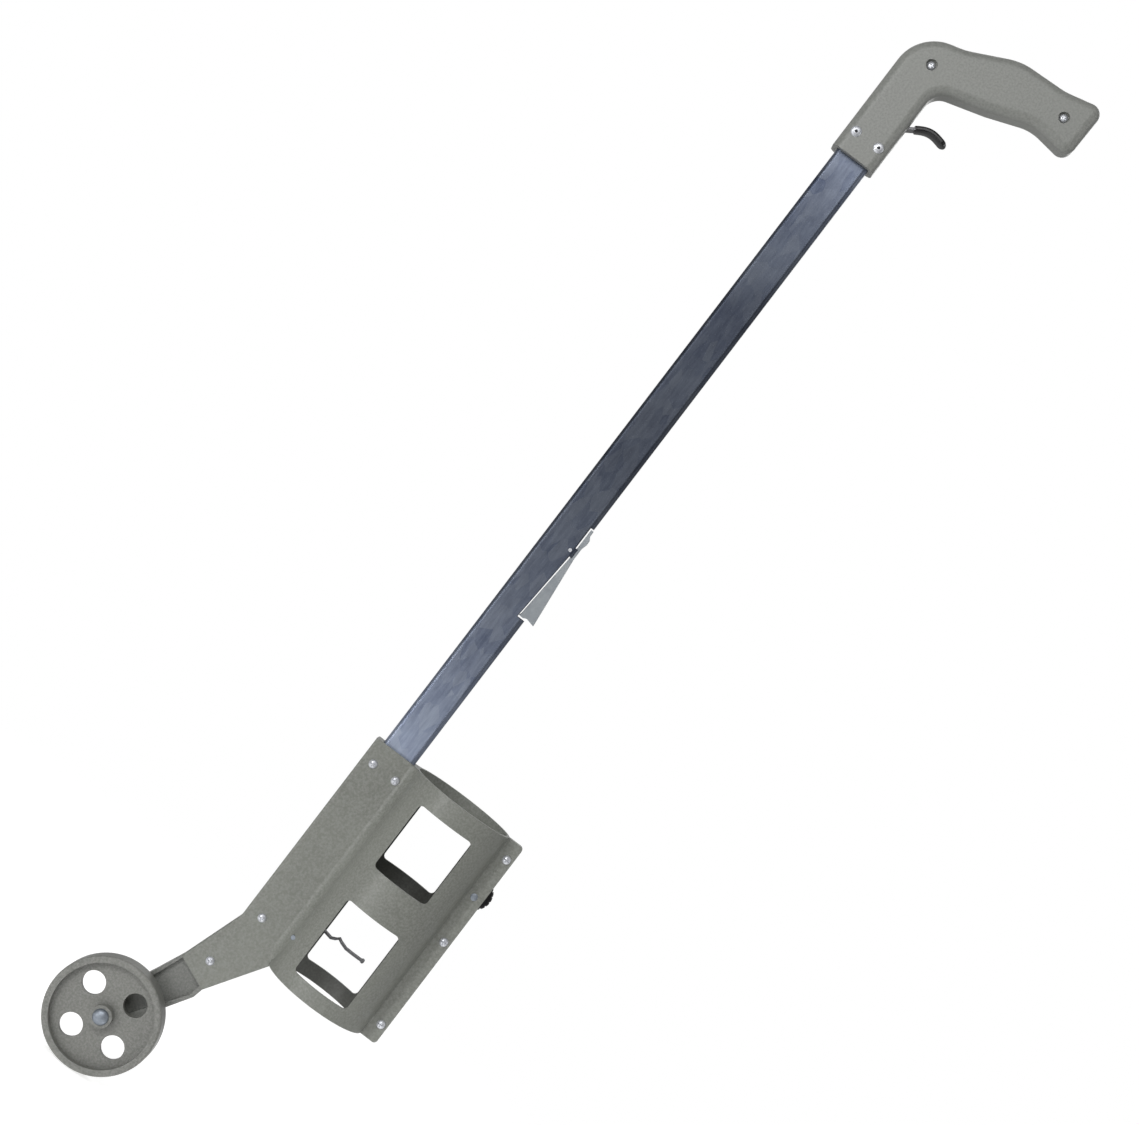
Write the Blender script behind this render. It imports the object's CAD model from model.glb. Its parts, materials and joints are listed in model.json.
import bpy
import json
import math
import numpy as np
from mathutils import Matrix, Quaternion, Vector

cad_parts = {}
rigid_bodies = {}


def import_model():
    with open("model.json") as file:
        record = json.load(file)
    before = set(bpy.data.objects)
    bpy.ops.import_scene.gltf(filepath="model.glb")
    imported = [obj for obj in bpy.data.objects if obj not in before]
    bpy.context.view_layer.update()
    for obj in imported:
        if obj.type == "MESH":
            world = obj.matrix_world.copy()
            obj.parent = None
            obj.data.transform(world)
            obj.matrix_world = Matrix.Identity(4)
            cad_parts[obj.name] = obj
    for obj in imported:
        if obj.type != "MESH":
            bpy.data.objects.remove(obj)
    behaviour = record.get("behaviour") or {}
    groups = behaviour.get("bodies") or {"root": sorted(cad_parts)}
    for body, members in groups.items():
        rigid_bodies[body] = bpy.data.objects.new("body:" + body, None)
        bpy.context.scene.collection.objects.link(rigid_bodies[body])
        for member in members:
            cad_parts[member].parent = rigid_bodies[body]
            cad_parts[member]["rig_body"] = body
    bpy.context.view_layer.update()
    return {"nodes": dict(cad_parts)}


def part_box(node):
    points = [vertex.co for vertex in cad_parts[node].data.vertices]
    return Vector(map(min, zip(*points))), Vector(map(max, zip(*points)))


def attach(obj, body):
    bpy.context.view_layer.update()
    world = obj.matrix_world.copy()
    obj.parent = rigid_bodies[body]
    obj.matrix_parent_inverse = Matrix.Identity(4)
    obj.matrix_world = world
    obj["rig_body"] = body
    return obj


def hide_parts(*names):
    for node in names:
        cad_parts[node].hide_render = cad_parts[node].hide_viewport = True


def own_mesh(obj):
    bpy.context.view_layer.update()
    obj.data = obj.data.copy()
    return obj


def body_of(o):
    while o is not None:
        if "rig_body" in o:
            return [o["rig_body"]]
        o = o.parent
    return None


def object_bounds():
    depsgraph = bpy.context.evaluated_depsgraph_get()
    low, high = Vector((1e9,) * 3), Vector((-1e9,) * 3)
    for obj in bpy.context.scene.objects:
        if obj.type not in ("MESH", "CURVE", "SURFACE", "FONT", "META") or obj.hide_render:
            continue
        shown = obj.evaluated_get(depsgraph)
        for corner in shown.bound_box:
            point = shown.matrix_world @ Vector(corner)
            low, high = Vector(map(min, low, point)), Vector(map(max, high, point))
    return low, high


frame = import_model()
print("stage: frame loaded,", len(frame["nodes"]), "cad nodes")


# ---- shader helpers

class Signal:
    # one output socket; arithmetic between signals and numbers adds Math nodes
    def __init__(self, finish, socket):
        self.finish, self.socket = finish, socket

    def math(self, operation, left, right=0.0):
        return self.finish.node("ShaderNodeMath", {"operation": operation}, {0: left, 1: right})

    def __add__(self, other):
        return self.math("ADD", self, other)

    def __sub__(self, other):
        return self.math("SUBTRACT", self, other)

    def __rsub__(self, other):
        return self.math("SUBTRACT", other, self)

    def __mul__(self, other):
        return self.math("MULTIPLY", self, other)

    def __truediv__(self, other):
        return self.math("DIVIDE", self, other)

    def __pow__(self, other):
        return self.math("POWER", self, other)

    __radd__ = __add__
    __rmul__ = __mul__


class Finish:
    # one material: a Principled shader whose sockets are fed by signals
    def __init__(self, name, steady):
        self.material = bpy.data.materials.new(name)
        self.material.use_nodes = True
        self.tree = self.material.node_tree
        self.shader = self.tree.nodes["Principled BSDF"]
        for socket, value in steady.items():
            self.shader.inputs[socket].default_value = value

    def node(self, kind, settings, sockets, output=0):
        made = self.tree.nodes.new(kind)
        for name, value in settings.items():
            if name == "stops":      # a ramp's stops: pairs of a position and a colour
                stops = made.color_ramp.elements
                while len(stops) > 1:
                    stops.remove(stops[0])
                for index, (place, colour) in enumerate(value):
                    stop = stops[0] if index == 0 else stops.new(place)
                    stop.position, stop.color = place, colour
            else:
                setattr(made, name, value)
        for name, value in sockets.items():
            if isinstance(value, Signal):
                self.tree.links.new(value.socket, made.inputs[name])
            else:
                made.inputs[name].default_value = value
        return Signal(self, made.outputs[output])

    def place(self):
        return self.node("ShaderNodeTexCoord", {}, {}, "Object")

    def stretched(self, scale):      # object coordinates stretched along an axis
        return self.node("ShaderNodeMapping", {}, {"Vector": self.place(), "Scale": scale})

    def noise(self, scale, detail=3.0, rough=0.5, at=None):
        return self.node("ShaderNodeTexNoise", {}, {"Vector": at or self.place(), "Scale": scale,
                         "Detail": detail, "Roughness": rough})

    def cells(self, scale, at=None, output="Distance"):
        return self.node("ShaderNodeTexVoronoi", {}, {"Vector": at or self.place(), "Scale": scale}, output)

    def along(self, axis):
        return self.node("ShaderNodeSeparateXYZ", {}, {"Vector": self.place()}, axis)

    def ramp(self, value, *stops):   # a smooth grey curve through the stops
        greys = [(place, (grey, grey, grey, 1)) for place, grey in stops]
        return self.node("ShaderNodeValToRGB", {"stops": greys}, {"Fac": value})

    def blendColours(self, factor, first, second, mode="MIX"):
        return self.node("ShaderNodeMix", {"data_type": "RGBA", "blend_type": mode},
                         {"Factor": factor, 6: first, 7: second}, 2)

    def bump(self, height, distance, strength=1.0, under=None):
        sockets = {"Height": height, "Distance": distance, "Strength": strength}
        if under:
            sockets["Normal"] = under
        return self.node("ShaderNodeBump", {}, sockets)

    def feed(self, **signals):
        names = {"colour": "Base Color", "rough": "Roughness", "metal": "Metallic",
                 "normal": "Normal", "clear": "Alpha"}
        for name, signal in signals.items():
            self.tree.links.new(signal.socket, self.shader.inputs[names[name]])
        return self.material


def linear(red, green, blue):        # a screen colour, 0 to 255, as the linear value that shaders take
    def one(value):
        value = value / 255
        return value / 12.92 if value <= 0.04045 else ((value + 0.055) / 1.055) ** 2.4
    return (one(red), one(green), one(blue), 1.0)


# ---- finishes

mouldSettings = {
    "patchSize": 22, "patchEdges": ((0.3, 0.0), (0.72, 1.0)), "patchShare": 0.55, "patchDeep": 0.0004,
    "grainSize": 720, "grainEdges": ((0.36, 0.0), (0.66, 1.0)), "grainShare": 0.75, "grainDeep": 0.00012,
    "fleckSize": 520, "fleckEdges": ((0.0, 1.0), (0.16, 0.0)), "fleckShare": 0.35,
    "rough": 0.35, "grainRough": 0.12, "patchSmooth": 0.06,
}
# the stain of overspray: within the bore by the square of the radius, and below the can's rim by height
stainSettings = {"acrossScale": 400, "acrossEdges": ((0.49, 1.0), (0.515, 0.0)), "upScale": 5, "upShift": 0.5,
                 "upEdges": ((0.78, 1.0), (0.9, 0.0)), "share": 0.62, "tone": (28, 27, 26)}
mouldTones = {
    "holder": ((129, 131, 124), (108, 109, 104), (146, 148, 142)),
    "arm": ((122, 124, 120), (101, 103, 100), (144, 144, 140)),
    "wheel": ((122, 123, 118), (104, 105, 101), (146, 146, 142)),
    "grip": ((138, 140, 135), (118, 120, 117), (156, 157, 153)),
}


def mouldedFinish(name, tones):
    mould = mouldSettings
    middle, deep, worn = [linear(*tone) for tone in tones]
    finish = Finish(name, {"Specular IOR Level": 0.5})
    patches = finish.noise(mould["patchSize"], detail=4, rough=0.55)
    grain = finish.noise(mould["grainSize"], detail=2, rough=0.6)
    flecks = finish.ramp(finish.cells(mould["fleckSize"]), *mould["fleckEdges"])
    shade = finish.ramp(patches, *mould["patchEdges"])
    colour = finish.blendColours(shade * mould["patchShare"], middle, deep)
    wear = finish.ramp(grain, *mould["grainEdges"])
    colour = finish.blendColours(wear * mould["grainShare"], colour, worn)
    colour = finish.blendColours(flecks * mould["fleckShare"], colour, worn)
    if name == "holderMould":
        stain = stainSettings
        across = finish.along("X") ** 2 + finish.along("Y") ** 2
        inBore = finish.ramp(across * stain["acrossScale"], *stain["acrossEdges"])
        belowRim = finish.ramp(finish.along("Z") * stain["upScale"] + stain["upShift"], *stain["upEdges"])
        colour = finish.blendColours(inBore * belowRim * stain["share"], colour, linear(*stain["tone"]))
    rough = mould["rough"] + grain * mould["grainRough"] - shade * mould["patchSmooth"]
    coarse = finish.bump(grain, mould["grainDeep"], strength=0.55)
    normal = finish.bump(patches, mould["patchDeep"], strength=0.12, under=coarse)
    return finish.feed(colour=colour, rough=rough, normal=normal)


tubeSettings = {
    "bright": (156, 166, 186), "dark": (88, 98, 124), "mixEdges": ((0.34, 0.0), (0.66, 1.0)),
    "cloudSize": 16, "streakSize": 11, "streak": (40, 40, 6), "streakDeep": 0.00012,
    "spangleSize": 150, "spangleShape": (1, 1, 0.55), "spangleTone": (205, 212, 220),
    "spangleShare": 0.22, "spangleDeep": 0.00003,
    "speckSize": 900, "speckEdges": ((0.0, 1.0), (0.1, 0.0)), "speckTone": (226, 230, 235), "speckShare": 0.5,
    "rough": 0.36, "cloudRough": 0.12, "streakRough": 0.1, "metal": 0.86, "mixMetal": 0.1,
    "from": 0.08, "to": 0.55, "filmWander": 0.16, "filmShift": 0.08,
    "film": ((0.0, 1.2), (0.1, 0.9), (0.26, 0.5), (0.5, 0.27), (0.76, 0.26), (0.88, 0.36), (1.0, 0.72)),
}


def tubeFinish():
    tube = tubeSettings
    finish = Finish("zincTube", {})
    spangle = finish.cells(tube["spangleSize"], finish.stretched(tube["spangleShape"]), "Color")
    spangle = finish.node("ShaderNodeSeparateColor", {}, {"Color": spangle})
    cloud = finish.noise(tube["cloudSize"], detail=6, rough=0.62)
    streaks = finish.noise(tube["streakSize"], detail=5, rough=0.6, at=finish.stretched(tube["streak"]))
    mix = finish.ramp(cloud * 0.6 + streaks * 0.4, *tube["mixEdges"])
    colour = finish.blendColours(mix, linear(*tube["dark"]), linear(*tube["bright"]))
    colour = finish.blendColours(spangle * tube["spangleShare"], colour, linear(*tube["spangleTone"]))
    specks = finish.ramp(finish.cells(tube["speckSize"]), *tube["speckEdges"])
    # dull film along the length: thin at the ends, heaviest from the middle to three quarters up
    share = (finish.along("Z") - tube["from"]) / (tube["to"] - tube["from"])
    film = finish.ramp(share + cloud * tube["filmWander"] - tube["filmShift"], *tube["film"])
    colour = finish.blendColours(1.0, colour, film, "MULTIPLY")
    colour = finish.blendColours(specks * tube["speckShare"], colour, linear(*tube["speckTone"]))
    rough = tube["rough"] + cloud * tube["cloudRough"] + streaks * tube["streakRough"]
    metal = tube["metal"] + mix * tube["mixMetal"]
    fine = finish.bump(streaks, tube["streakDeep"], strength=0.35)
    normal = finish.bump(spangle, tube["spangleDeep"], strength=0.5, under=fine)
    return finish.feed(colour=colour, rough=rough, metal=metal, normal=normal)


metalTones = {
    "clipSteel": {"tone": (178, 183, 186), "deep": (120, 126, 134), "rough": 0.38, "size": 240},
    "brightZinc": {"tone": (238, 240, 244), "deep": (176, 180, 190), "rough": 0.3, "size": 900,
                   "metal": 0.72},
    "axleMetal": {"tone": (166, 174, 184), "deep": (118, 124, 132), "rough": 0.42, "size": 700},
    "springSteel": {"tone": (128, 128, 130), "deep": (74, 74, 78), "rough": 0.32, "size": 1200},
}


def metalFinish(name):
    tone = metalTones[name]
    finish = Finish(name, {})
    cloud = finish.noise(tone["size"], detail=5, rough=0.6)
    stain = finish.ramp(finish.noise(tone["size"] * 0.22, detail=3, rough=0.6), (0.4, 0.0), (0.7, 1.0))
    colour = finish.blendColours(cloud * 0.5 + stain * 0.35, linear(*tone["tone"]), linear(*tone["deep"]))
    rough = tone["rough"] + cloud * 0.14 + stain * 0.1
    return finish.feed(colour=colour, rough=rough, metal=tone.get("metal", 1.0) - stain * 0.12,
                       normal=finish.bump(cloud, 0.00004, 0.4))


def softFinish(name, tone, deep, rough, size):     # rubber, vinyl and nylon: fine pebble and a little dust
    finish = Finish(name, {"Specular IOR Level": 0.5})
    pebble = finish.noise(size, detail=3, rough=0.6)
    dust = finish.ramp(finish.noise(size * 0.08, detail=4, rough=0.6), (0.45, 0.0), (0.75, 1.0))
    colour = finish.blendColours(dust * 0.3, linear(*tone), linear(*deep))
    return finish.feed(colour=colour, rough=rough + pebble * 0.1 + dust * 0.12,
                       normal=finish.bump(pebble, 0.00005, 0.5))


finishes = {name: mouldedFinish(name + "Mould", tones) for name, tones in mouldTones.items()}
finishes["tube"] = tubeFinish()
for metalName in metalTones:
    finishes[metalName] = metalFinish(metalName)
finishes["rubber"] = softFinish("blackRubber", (16, 16, 18), (44, 44, 45), 0.3, 1300)
finishes["nylon"] = softFinish("rodNylon", (222, 220, 208), (180, 178, 168), 0.42, 700)

nodeFinishes = {
    "tube": ["shaft_tube"],
    "holder": ["holder_front", "holder_back"],
    "arm": ["wheel_arm"],
    "wheel": ["wheel", "axle_washers"],
    "grip": ["handle_front", "handle_back"],
    "brightZinc": ["flange_screws", "flange_nuts", "spine_screws", "spine_nuts", "arm_screws", "arm_nuts",
                   "handle_screws", "handle_rivets", "clip_pin", "axle_nut", "axle_bushing"],
    "axleMetal": ["axle_bolt", "clamp_stud", "actuator_pin"],
    "clipSteel": ["clip_lever"],
    "springSteel": ["return_spring", "clip_spring", "trigger_lever", "trigger_pin", "push_rod",
                    "actuator_lever"],
    "rubber": ["clamp_knob", "trigger_coat"],
    "nylon": ["rod_collar", "rod_guides"],
}
for finishName, nodeNames in nodeFinishes.items():
    for nodeName in nodeNames:
        for slot in frame["nodes"][nodeName].material_slots:
            slot.material = finishes[finishName]
print("stage: finishes on", sum(len(names) for names in nodeFinishes.values()), "nodes")


# ---- pieces shaped here

def gridQuads(count, around):
    # quad (i, j) joins points j and j + 1 of ring i to the same two of ring i + 1, and each ring closes
    here = np.arange(around)
    there = np.roll(here, -1)
    lift = (np.arange(count - 1) * around)[:, None]
    corners = [lift + here, lift + there, lift + there + around, lift + here + around]
    return np.stack(corners, -1).reshape(-1, 4)


def ringPiece(name, rings, finishName, node, stands=True):
    # rings[i, j]: point j round ring i; quads join the rings and a pole closes each end
    count, around = rings.shape[:2]
    points = np.concatenate([rings.reshape(-1, 3), rings[0].mean(0)[None], rings[-1].mean(0)[None]])
    here = np.arange(around)
    there = np.roll(here, -1)
    quads = gridQuads(count, around)
    last = (count - 1) * around
    fans = np.concatenate([np.stack([there, here, np.full(around, count * around)], -1),
                           np.stack([last + here, last + there, np.full(around, count * around + 1)], -1)])
    middle = points.mean(0)
    corners = (points - middle)[np.concatenate([quads[:, :3], quads[:, [0, 2, 3]], fans])]
    if np.einsum("ij,ij->i", corners[:, 0], np.cross(corners[:, 1], corners[:, 2])).sum() < 0:
        quads, fans = quads[:, ::-1], fans[:, ::-1]      # a negative volume means the faces look inwards
    mesh = bpy.data.meshes.new(name)
    mesh.from_pydata(points.tolist(), [], quads.tolist() + fans.tolist())
    smooth = np.ones(len(quads) + len(fans), bool)
    smooth[len(quads):] = False
    mesh.polygons.foreach_set("use_smooth", smooth)
    mesh.materials.append(finishes[finishName])
    piece = bpy.data.objects.new(name, mesh)
    bpy.context.scene.collection.objects.link(piece)
    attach(piece, body_of(frame["nodes"][node])[0])
    if stands:
        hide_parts(node)
    return piece


def boxArrays(node):
    return [np.array(corner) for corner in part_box(node)]


def sweep(line, sideways, wide, deep, power, around):
    # rings[i, j] = line[i] + wide[i]*cos(a)^(2/power) sideways + deep[i]*sin(a)^(2/power) across the line
    turn = np.linspace(0, 2 * np.pi, around, endpoint=False)
    ahead = np.gradient(line, axis=0)
    ahead /= np.linalg.norm(ahead, axis=1, keepdims=True)
    across = np.cross(ahead, sideways)

    def soft(wave):
        return np.sign(wave) * np.abs(wave) ** (2 / power)

    return (line[:, None] + wide[:, None, None] * soft(np.cos(turn))[None, :, None] * sideways
            + deep[:, None, None] * soft(np.sin(turn))[None, :, None] * across[:, None])


def rounded(gap, reach):             # a quarter circle: 0 at an end, 1 from its reach on
    return np.sqrt(1 - (1 - np.clip(gap / reach, 0, 1)) ** 2)


coatSettings = {
    "line": ((0.0, 0.27), (0.13, 0.46), (0.27, 0.63), (0.45, 0.74), (0.65, 0.71), (0.82, 0.63), (1.0, 0.58)),
    "inset": 0.0001, "deep": 0.0023, "lip": 0.0011, "lipLeast": 0.35, "end": 0.0042, "endLeast": 0.02,
    "narrow": 0.16, "squareness": 3.2, "rings": 90, "around": 56,
}


def makeCoat(coat):
    low, high = boxArrays("trigger_coat")
    long = high[0] - low[0]
    share = np.linspace(0, 1, coat["rings"])
    share = 0.5 - 0.5 * np.cos(np.pi * share)                # rings crowd at both ends
    bendX, bendZ = np.array(coat["line"]).T                  # shares of the length and the height
    rise = np.polyval(np.polyfit(bendX, bendZ, 4), share)    # a smooth curve through the bends
    line = np.stack([low[0] + coat["inset"] + (long - 2 * coat["inset"]) * share, np.zeros_like(share),
                     low[2] + (high[2] - low[2]) * rise], -1)
    # the section shrinks by a quarter circle at each end: partly at the lip, almost to a point at the tip
    lip = coat["lipLeast"] + (1 - coat["lipLeast"]) * rounded(share * long, coat["lip"])
    closing = lip * np.maximum(rounded((1 - share) * long, coat["end"]), coat["endLeast"])
    wide = (high[1] - low[1]) / 2 * (1 - coat["narrow"] * (1 - share) ** 2) * closing
    rings = sweep(line, np.array([0.0, 1.0, 0.0]), wide, coat["deep"] * closing, coat["squareness"],
                  coat["around"])
    ringPiece("triggerCoat", rings, "rubber", "trigger_coat")


makeCoat(coatSettings)

springSettings = {
    "return_spring": {"piece": "returnCoil", "axis": 2, "wire": 0.0008, "turns": 7.0, "shut": 1.1},
    "clip_spring": {"piece": "clipCoil", "axis": 1, "wire": 0.0007, "turns": 6.0, "shut": 0.0},
}
coilSettings = {"stepsPerTurn": 40, "shutPitch": 1.02, "around": 12}


def makeCoil(nodeName, spring):
    low, high = boxArrays(nodeName)
    axis = spring["axis"]
    first, second = (axis + 1) % 3, (axis + 2) % 3
    centre = (low + high) / 2
    out = (high - low)[first] / 2 - spring["wire"] / 2
    steps = int(spring["turns"] * coilSettings["stepsPerTurn"])
    share = np.linspace(0, 1, steps)
    turn = 2 * np.pi * spring["turns"] * share
    # the first and last turns lie shut; between them the coil climbs evenly
    shut = spring["shut"] / spring["turns"]
    climb = np.clip((share - shut) / (1 - 2 * shut), 0, 1)
    pitch = spring["wire"] * coilSettings["shutPitch"]
    bottom, top = low[axis] + spring["wire"] / 2, high[axis] - spring["wire"] / 2
    free = top - bottom - 2 * pitch * spring["shut"]
    shutTurns = (np.minimum(share, shut) + np.maximum(share - 1 + shut, 0)) * spring["turns"]
    line = np.zeros((steps, 3))
    line[:, first] = centre[first] + np.cos(turn) * out
    line[:, second] = centre[second] + np.sin(turn) * out
    line[:, axis] = bottom + pitch * shutTurns + free * climb
    outward = line - centre
    outward[:, axis] = 0
    outward /= np.linalg.norm(outward, axis=1, keepdims=True)
    ahead = np.gradient(line, axis=0)
    ahead /= np.linalg.norm(ahead, axis=1, keepdims=True)
    across = np.cross(ahead, outward)
    wireTurn = np.linspace(0, 2 * np.pi, coilSettings["around"], endpoint=False)
    # rings[i, j] = line[i] + wire/2 (cos a outward + sin a across)
    rings = (line[:, None] + spring["wire"] / 2 * (np.cos(wireTurn)[None, :, None] * outward[:, None]
                                                   + np.sin(wireTurn)[None, :, None] * across[:, None]))
    return ringPiece(spring["piece"], rings, "springSteel", nodeName)


coils = {nodeName: makeCoil(nodeName, spring) for nodeName, spring in springSettings.items()}
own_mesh(coils["return_spring"])

knobSettings = {
    "grips": 18, "cut": 0.0006, "sharp": 2.2, "rimFrom": 0.78, "rimWide": 0.2, "soft": 0.0018, "around": 288,
    "neck": 0.0046, "neckFrom": 0.0002, "neckFoot": 0.0012, "disc": 0.007, "back": 0.72,
    "face": ((0.94, 0.0), (0.8, 0.0002), (0.5, 0.0006), (0.2, 0.0007), (0.04, 0.0007)),
}


def makeKnob(knob):
    low, high = boxArrays("clamp_knob")
    centre = (low + high) / 2
    full = (high[0] - low[0]) / 2
    neck, corner, discFace = knob["neck"], knob["soft"], high[1] - knob["disc"]
    bend = np.linspace(0, np.pi / 2, 9)
    faceShare, faceSunk = np.array(knob["face"]).T           # the far face dips towards its middle
    # outline of half the knob as radius and place along y, from the neck's foot to the disc's far face
    outline = np.concatenate([
        [(neck, low[1] + knob["neckFrom"]), (neck, low[1] + knob["neckFoot"]),
         (neck, (low[1] + discFace) / 2)],
        np.stack([neck + corner * (1 - np.cos(bend)), discFace - corner + corner * np.sin(bend)], -1),
        [(full * knob["back"], discFace)],
        np.stack([full - corner + corner * np.sin(bend), discFace + corner - corner * np.cos(bend)], -1),
        np.stack([full - corner + corner * np.cos(bend), high[1] - corner + corner * np.sin(bend)], -1),
        np.stack([(full - corner) * faceShare, high[1] - faceSunk], -1)])
    # radius(a) = outline radius - cut * max(0, cos(grips a))^sharp, fading in over the outer fifth
    turn = np.linspace(0, 2 * np.pi, knob["around"], endpoint=False)
    rim = np.clip((outline[:, 0] / full - knob["rimFrom"]) / knob["rimWide"], 0, 1)
    dent = knob["cut"] * np.maximum(0, np.cos(knob["grips"] * turn)) ** knob["sharp"]
    radius = outline[:, :1] - rim[:, None] * dent[None]
    rings = np.stack([centre[0] + radius * np.cos(turn), np.broadcast_to(outline[:, 1:], radius.shape),
                      centre[2] + radius * np.sin(turn)], -1)
    ringPiece("thumbKnob", rings, "rubber", "clamp_knob")


makeKnob(knobSettings)

# concave rounds where the holder's round wall runs into its flat spine and its flange
grooveSettings = {"spine": {"soft": 0.0075, "way": -1, "screws": "spine_screws"},
                  "flange": {"soft": 0.0018, "way": 1, "screws": "flange_screws"}}
grooveShape = {"screwHead": 0.0019, "belowScrews": 0.0070, "inset": 0.00005, "buried": 0.0006,
               "behind": 0.0001, "creaseDeep": 0.0003, "taper": 0.012, "least": 0.04,
               "arcPoints": 14, "levels": 60}


def makeRound(name, groove, side):
    shape = grooveShape
    holderLow, holderHigh = boxArrays("holder_front")
    drumRadius = abs(holderLow[1])
    soft, level = groove["soft"], abs(boxArrays(groove["screws"])[0][1] + shape["screwHead"])
    # an arc that touches the flat face and the drum: its centre lies outside both by its own radius
    centre = np.array([math.sqrt((drumRadius + soft) ** 2 - (level + soft) ** 2), level + soft])
    toDrum = -centre / np.linalg.norm(centre)
    angles = np.linspace(-np.pi / 2, math.atan2(toDrum[1], toDrum[0]), shape["arcPoints"])
    arc = centre + soft * np.stack([np.cos(angles), np.sin(angles)], -1)
    inner = [arc[-1] + toDrum * shape["buried"],             # the rest of the section is buried in the wall
             np.array([arc[:, 0].min() - shape["behind"], level - shape["buried"]]),
             arc[0] + np.array([0.0, -shape["buried"]])]
    section = np.concatenate([arc, inner])
    bottom = boxArrays("flange_screws")[0][2] - shape["belowScrews"]
    levels = np.linspace(bottom + shape["inset"], holderHigh[2] - shape["inset"], shape["levels"])
    # section(z) = crease + (section - crease) * share, and share runs out to nearly nothing at the low end
    share = shape["least"] + (1 - shape["least"]) * rounded(levels - levels[0], shape["taper"])
    crease = np.array([math.sqrt(drumRadius ** 2 - level ** 2), level - shape["creaseDeep"]])
    sections = crease + (section - crease)[None] * share[:, None, None]
    rings = np.stack([sections[..., 0] * groove["way"], sections[..., 1] * side,
                      np.broadcast_to(levels[:, None], sections.shape[:2])], -1)
    end, node = ("FrontRound", "holder_front") if side < 0 else ("BackRound", "holder_back")
    ringPiece(name + end, rings, "holder", node, stands=False)


for grooveName, groove in grooveSettings.items():
    for side in (-1, 1):
        makeRound(grooveName, groove, side)
print("stage: new pieces made")


# ---- floor, light and camera

stageSettings = {"floorFull": 0.1, "floorGone": 0.9, "floorTone": 0.92, "floorGlow": 0.62,
                 "floorRings": 24, "floorAround": 72, "floorBelow": 0.0004,
                 "sky": 0.36, "skyFront": 0.09, "skyFrom": -0.75, "skyTo": 0.35, "lightsAim": (-0.03, 0, 0.2)}
cameraSettings = {"place": (0.0044, -1.5668, 0.2347), "lookAt": (-0.0383, -0.0005, 0.2436),
                  "rollDeg": -37.37, "lens": 79.0, "near": 0.05, "far": 100}
lights = {
    "streakBox": {"place": (-0.95, -1.35, 0.3), "size": (0.16, 1.5), "power": 8},
    "frontBox": {"place": (-0.45, -1.9, 1.0), "size": (0.8, 0.6), "power": 9.5},
    "highBox": {"place": (-0.1, -1.15, 1.35), "size": (0.9, 0.5), "power": 2.5},
    "lowBox": {"place": (-0.35, -1.3, -0.5), "size": (0.9, 0.5), "power": 3},
    "sideBox": {"place": (1.3, -0.5, 0.7), "size": (0.8, 1.2), "power": 2.5},
    "backBox": {"place": (0.2, 1.4, 1.2), "size": (1.6, 1.0), "power": 8},
}
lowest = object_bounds()[0].z
# a flat disc: rings of growing radius round the middle, fine near it
count, around = stageSettings["floorRings"], stageSettings["floorAround"]
spans = np.linspace(0, 1, count) ** 1.5 * stageSettings["floorGone"]
turn = np.linspace(0, 2 * np.pi, around, endpoint=False)
floorPoints = np.stack([spans[:, None] * np.cos(turn), spans[:, None] * np.sin(turn),
                        np.full((count, around), lowest - stageSettings["floorBelow"])], -1).reshape(-1, 3)
floorMesh = bpy.data.meshes.new("floor")
floorMesh.from_pydata(floorPoints.tolist(), [], gridQuads(count, around)[:, ::-1].tolist())   # face upwards
floor = bpy.data.objects.new("floor", floorMesh)
bpy.context.scene.collection.objects.link(floor)
floorTone = stageSettings["floorTone"]
floorFinish = Finish("paleFloor", {"Roughness": 0.9, "Specular IOR Level": 0.1,
                                   "Emission Strength": stageSettings["floorGlow"],
                                   "Base Color": (floorTone, floorTone, floorTone, 1),
                                   "Emission Color": (1, 1, 1, 1)})
away = floorFinish.node("ShaderNodeVectorMath", {"operation": "LENGTH"}, {0: floorFinish.place()}, "Value")
fade = floorFinish.node("ShaderNodeMapRange", {"interpolation_type": "SMOOTHSTEP"},
                        {"Value": away, "From Min": stageSettings["floorFull"],
                         "From Max": stageSettings["floorGone"], "To Min": 1.0, "To Max": 0.0})
floorFinish.feed(clear=fade)
floorMesh.materials.append(floorFinish.material)

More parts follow.
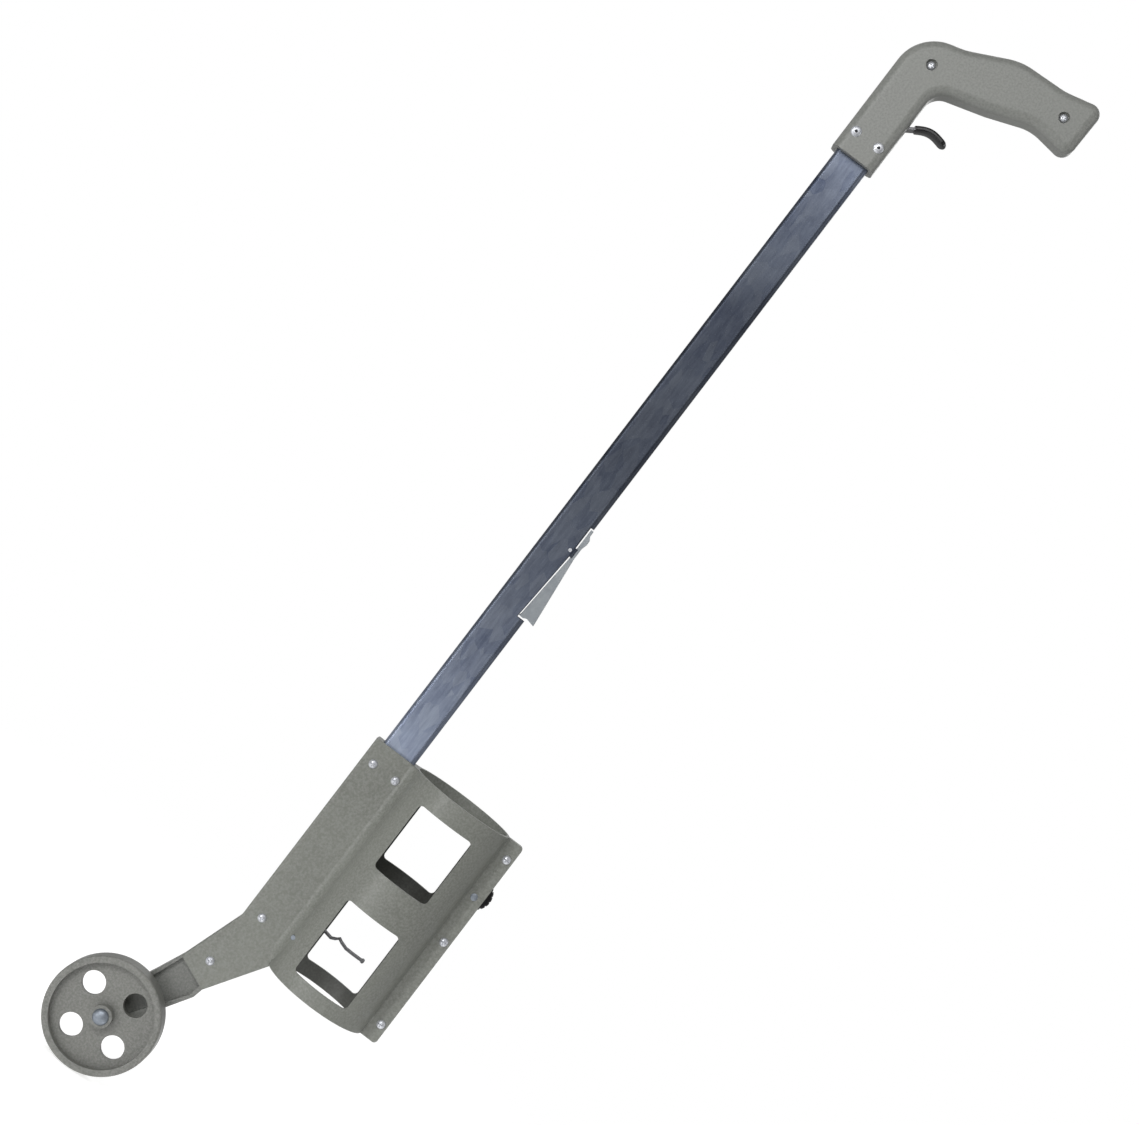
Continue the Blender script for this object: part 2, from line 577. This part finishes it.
world = bpy.data.worlds.new("studio")
bpy.context.scene.world = world
world.use_nodes = True
skyTree = world.node_tree
skyTree.nodes.clear()
output = skyTree.nodes.new("ShaderNodeOutputWorld")
direction = skyTree.nodes.new("ShaderNodeTexCoord")
split = skyTree.nodes.new("ShaderNodeSeparateXYZ")
skyTree.links.new(direction.outputs["Generated"], split.inputs[0])
side = skyTree.nodes.new("ShaderNodeMapRange")       # dim behind the camera, bright behind the object
side.interpolation_type = "SMOOTHSTEP"
for name, setting in (("From Min", "skyFrom"), ("From Max", "skyTo"),
                      ("To Min", "skyFront"), ("To Max", "sky")):
    side.inputs[name].default_value = stageSettings[setting]
skyTree.links.new(split.outputs["Y"], side.inputs["Value"])
path = skyTree.nodes.new("ShaderNodeLightPath")
seen = skyTree.nodes.new("ShaderNodeMix")            # the camera itself sees plain white
skyTree.links.new(path.outputs["Is Camera Ray"], seen.inputs[0])
skyTree.links.new(side.outputs["Result"], seen.inputs[2])
seen.inputs[3].default_value = 1.0
background = skyTree.nodes.new("ShaderNodeBackground")
background.inputs["Color"].default_value = (1, 1, 1, 1)
skyTree.links.new(seen.outputs[0], background.inputs["Strength"])
skyTree.links.new(background.outputs[0], output.inputs[0])

for lightName, light in lights.items():
    lamp = bpy.data.lights.new(lightName, "AREA")
    lamp.shape = "RECTANGLE"
    lamp.size, lamp.size_y = light["size"]
    lamp.energy = light["power"]
    lampObject = bpy.data.objects.new(lightName, lamp)
    lampObject.location = light["place"]
    aim = Vector(stageSettings["lightsAim"]) - lampObject.location
    lampObject.rotation_mode = "QUATERNION"
    lampObject.rotation_quaternion = aim.to_track_quat("-Z", "Y")
    bpy.context.scene.collection.objects.link(lampObject)

cameraData = bpy.data.cameras.new("camera")
cameraData.lens = cameraSettings["lens"]
cameraData.clip_start, cameraData.clip_end = cameraSettings["near"], cameraSettings["far"]
camera = bpy.data.objects.new("camera", cameraData)
camera.rotation_mode = "QUATERNION"
camera.location = cameraSettings["place"]
sight = Vector(cameraSettings["lookAt"]) - camera.location
camera.rotation_quaternion = (Quaternion(sight.normalized(), math.radians(cameraSettings["rollDeg"]))
                              @ sight.to_track_quat("-Z", "Y"))
bpy.context.scene.collection.objects.link(camera)
bpy.context.scene.camera = camera
bpy.context.scene.view_settings.view_transform = "Standard"
print("stage: floor, lights and camera")
